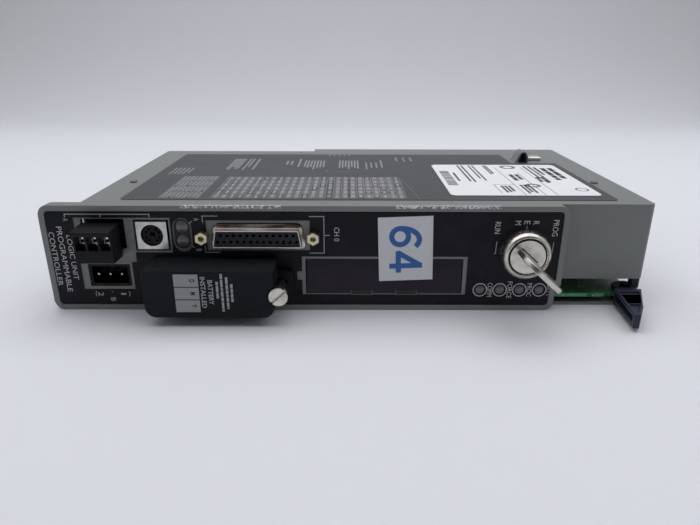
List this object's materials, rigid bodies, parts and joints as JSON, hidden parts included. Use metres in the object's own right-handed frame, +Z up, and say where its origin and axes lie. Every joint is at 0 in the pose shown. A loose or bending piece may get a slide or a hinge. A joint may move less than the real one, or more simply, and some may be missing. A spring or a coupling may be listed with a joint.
{
  "type": "plc module",
  "caption": "Rack-mount programmable controller module on its side: sheet cover, front panel with connectors, keyswitch, battery cover and card ejector.",
  "frame": {"origin": "middle of the module box on the surface it lies on", "axes": "+X along the front panel towards its keyswitch end, +Y from the front panel to the rear, +Z up from the surface to the labelled side"},
  "size_m": [0.2622, 0.1784, 0.0534],
  "materials": {
    "painted_steel": "satin grey powder coat with a fine texture",
    "overlay_film": "printed polyester overlay, near black",
    "label_grey": "printed dark grey label",
    "label_white": "printed white label stock",
    "laminate": "green solder mask on glass epoxy",
    "black_plastic": "moulded black plastic",
    "switch_red": "moulded red switch block",
    "steel": "tin plated or zinc plated steel",
    "nickel": "satin nickel plate",
    "passivated_brass": "pale yellow passivated screw",
    "lens_grey": "unlit lamp lens",
    "charcoal_plastic": "fine textured charcoal moulding",
    "cell_wrap": "shrink sleeve on a lithium cell",
    "smoked_plastic": "dark smoked polycarbonate",
    "blue_nylon": "slate blue moulded nylon"
  },
  "bodies": {
    "case": {"cover_shell": "painted_steel", "front_bezel": "painted_steel", "base_plate": "painted_steel", "front_overlay": "overlay_film", "side_label": "label_grey", "rating_label": "label_white", "number_sticker": "label_white", "main_board": "laminate", "processor_board": "laminate", "processor_chip": "black_plastic", "memory_chip": "black_plastic", "board_connector": "black_plastic", "contact_block": "black_plastic", "serial_insert": "black_plastic", "din_insert": "black_plastic", "header_a": "black_plastic", "header_b": "black_plastic", "battery_tray": "black_plastic", "memory_socket": "black_plastic", "ejector_pin": "black_plastic", "address_switch": "switch_red", "standoff_1": "steel", "standoff_2": "steel", "standoff_3": "steel", "standoff_4": "steel", "case_screw_1": "steel", "case_screw_2": "steel", "case_screw_3": "steel", "case_screw_4": "steel", "lock_nut": "steel", "din_shell": "steel", "header_b_pin_1": "steel", "header_b_pin_2": "steel", "header_b_pin_3": "steel", "ground_spring": "steel", "lock_barrel": "nickel", "serial_shell": "nickel", "jack_screw_left": "passivated_brass", "jack_screw_right": "passivated_brass", "lens_comm": "lens_grey", "lens_force": "lens_grey", "lens_proc": "lens_grey", "lens_batt": "lens_grey", "lens_channel_a": "lens_grey", "lens_channel_b": "lens_grey", "battery_cell": "cell_wrap", "memory_window": "smoked_plastic"},
    "lock": {"lock_plug": "nickel"},
    "key": {"key": "nickel"},
    "battery_cover": {"battery_cover": "charcoal_plastic", "date_label": "label_white"},
    "battery_screw": {"battery_screw": "nickel"},
    "plug": {"terminal_plug": "black_plastic"},
    "ejector": {"ejector_lever": "blue_nylon"},
    "clamp_1": {"wire_clamp_1": "steel"},
    "wire_screw_1": {"terminal_screw_1": "steel"},
    "clamp_2": {"wire_clamp_2": "steel"},
    "wire_screw_2": {"terminal_screw_2": "steel"},
    "clamp_3": {"wire_clamp_3": "steel"},
    "wire_screw_3": {"terminal_screw_3": "steel"}
  },
  "joints": [
    {"name": "key_turn", "type": "hinge", "parent": "case", "child": "lock", "pos_m": [0.0746, -0.05823, 0.0271], "axis": [0, 1, 0], "range_deg": [0, 90]},
    {"name": "key_pull", "type": "slide", "parent": "lock", "child": "key", "axis": [0, -1, 0], "range_m": [0, 0.026]},
    {"name": "battery_cover_pull", "type": "slide", "parent": "case", "child": "battery_cover", "axis": [0, -1, 0], "range_m": [0, 0.03]},
    {"name": "battery_screw_turn", "type": "hinge", "parent": "battery_cover", "child": "battery_screw", "pos_m": [-0.0296, -0.05823, 0.014], "axis": [0, 1, 0], "continuous": true},
    {"name": "terminal_plug_pull", "type": "slide", "parent": "case", "child": "plug", "axis": [0, -1, 0], "range_m": [0, 0.02]},
    {"name": "ejector_swing", "type": "hinge", "parent": "case", "child": "ejector", "pos_m": [0.1252, -0.04817, 0.005], "axis": [0, 0, 1], "range_deg": [-64, 0]},
    {"name": "terminal_screw_1_turn", "type": "hinge", "parent": "plug", "child": "wire_screw_1", "pos_m": [-0.11053, -0.06303, 0.028], "axis": [0, 0, 1], "range_deg": [-720, 0]},
    {"name": "wire_clamp_1_rise", "type": "slide", "parent": "plug", "child": "clamp_1", "axis": [0, 0, 1], "range_m": [-0.0015, 0]},
    {"name": "terminal_screw_2_turn", "type": "hinge", "parent": "plug", "child": "wire_screw_2", "pos_m": [-0.10545, -0.06303, 0.028], "axis": [0, 0, 1], "range_deg": [-720, 0]},
    {"name": "wire_clamp_2_rise", "type": "slide", "parent": "plug", "child": "clamp_2", "axis": [0, 0, 1], "range_m": [-0.0015, 0]},
    {"name": "terminal_screw_3_turn", "type": "hinge", "parent": "plug", "child": "wire_screw_3", "pos_m": [-0.10037, -0.06303, 0.028], "axis": [0, 0, 1], "range_deg": [-720, 0]},
    {"name": "wire_clamp_3_rise", "type": "slide", "parent": "plug", "child": "clamp_3", "axis": [0, 0, 1], "range_m": [-0.0015, 0]}
  ],
  "couplings": [
    {"joint": "terminal_screw_1_turn", "follows": "wire_clamp_1_rise", "rad_per_m": 8377.6},
    {"joint": "terminal_screw_2_turn", "follows": "wire_clamp_2_rise", "rad_per_m": 8377.6},
    {"joint": "terminal_screw_3_turn", "follows": "wire_clamp_3_rise", "rad_per_m": 8377.6}
  ]
}
